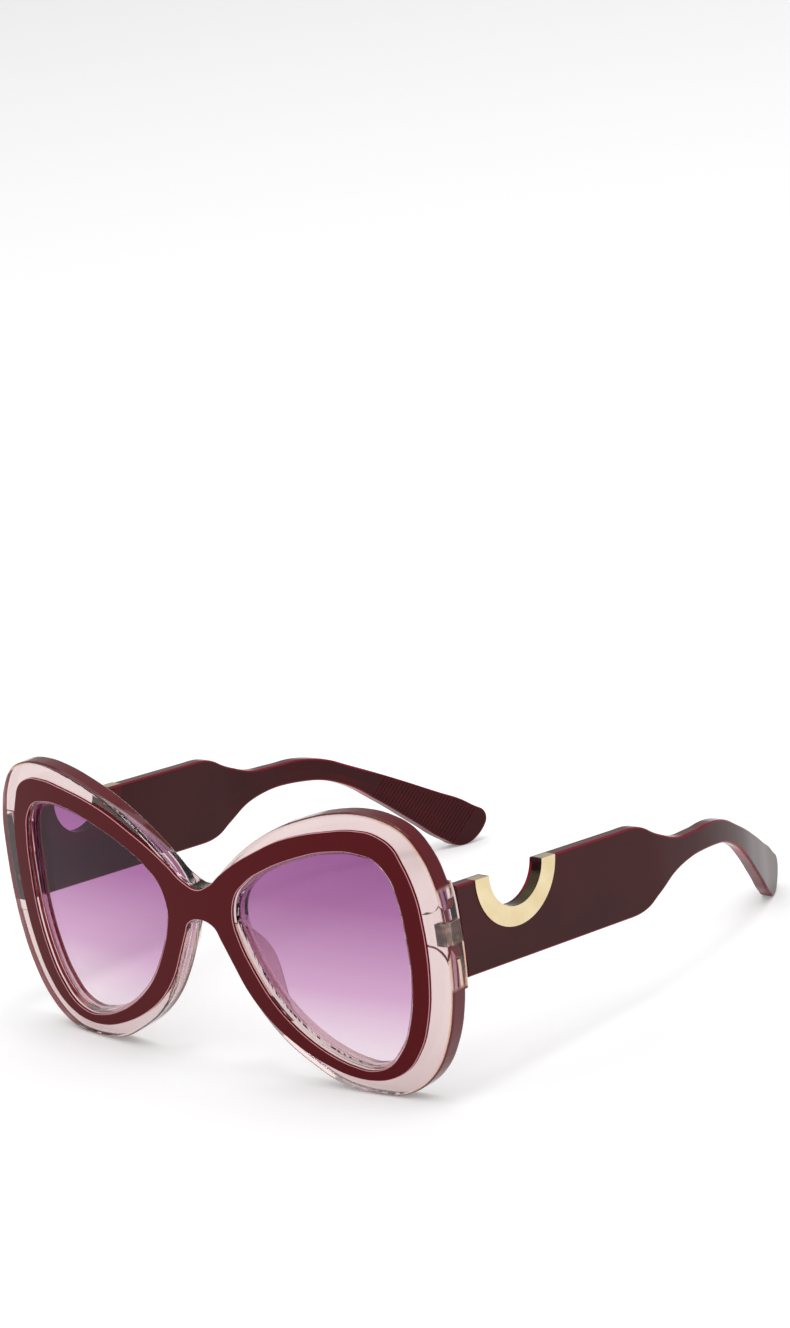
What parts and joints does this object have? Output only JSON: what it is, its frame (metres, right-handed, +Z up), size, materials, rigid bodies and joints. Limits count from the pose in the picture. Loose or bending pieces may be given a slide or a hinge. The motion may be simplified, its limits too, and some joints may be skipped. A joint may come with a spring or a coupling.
{
  "type": "butterfly sunglasses",
  "caption": "Oversized butterfly sunglasses: clear pink front with burgundy overlay, gradient lenses, wide burgundy temples with half-round gold ornaments.",
  "frame": {"origin": "on the floor, in the middle of the open glasses' box", "axes": "+X to the wearer's left, +Y back towards the temple tips, +Z up"},
  "size_m": [0.15, 0.1528, 0.0708],
  "materials": {
    "clear_pink": "polished clear pink acetate",
    "burgundy": "polished translucent burgundy acetate",
    "lens": "clear plastic with a purple gradient tint",
    "hinge_metal": "satin nickel silver",
    "core_metal": "drawn wire",
    "ornament_metal": "polished pale gold plating"
  },
  "bodies": {
    "front": {"front_base": "clear_pink", "front_overlay": "burgundy", "lens_left": "lens", "lens_right": "lens", "nose_pad_left": "clear_pink", "nose_pad_right": "clear_pink", "hinge_front_leaf_left": "hinge_metal", "hinge_front_leaf_right": "hinge_metal", "hinge_screw_left": "hinge_metal", "hinge_screw_right": "hinge_metal"},
    "left_temple": {"temple_left": "burgundy", "temple_core_left": "core_metal", "hinge_temple_leaf_left": "hinge_metal", "temple_ornament_left": "ornament_metal"},
    "right_temple": {"temple_right": "burgundy", "temple_core_right": "core_metal", "hinge_temple_leaf_right": "hinge_metal", "temple_ornament_right": "ornament_metal"}
  },
  "joints": [
    {"name": "left_temple_fold", "type": "hinge", "parent": "front", "child": "left_temple", "pos_m": [0.0703, -0.0625, 0.04134], "axis": [0, 0, 1], "range_deg": [0, 82]},
    {"name": "right_temple_fold", "type": "hinge", "parent": "front", "child": "right_temple", "pos_m": [-0.0703, -0.0625, 0.04134], "axis": [0, 0, -1], "range_deg": [0, 70]}
  ]
}
